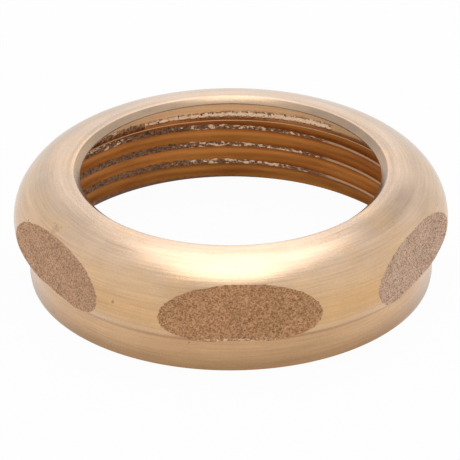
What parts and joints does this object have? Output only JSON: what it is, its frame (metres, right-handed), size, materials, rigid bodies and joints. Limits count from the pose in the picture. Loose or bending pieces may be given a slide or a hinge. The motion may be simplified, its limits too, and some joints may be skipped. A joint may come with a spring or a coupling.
{
  "type": "slip joint nut",
  "caption": "Cast and turned brass nut for a slip joint drain: a threaded collar, a domed body with rough wrench pads, and an inward lip that holds a washer against the tube.",
  "frame": {"origin": "centre of the threaded end face, on the bore axis", "axes": "+Z along the bore from the threaded end towards the lip, -Y out of the middle of one wrench pad, +X through the corner between two pads"},
  "size_m": [0.0472, 0.0442, 0.0122],
  "materials": {
    "brass": "turned all over, with rough as-cast wrench pads"
  },
  "bodies": {
    "root": {"nut_body": "brass"}
  },
  "joints": []
}
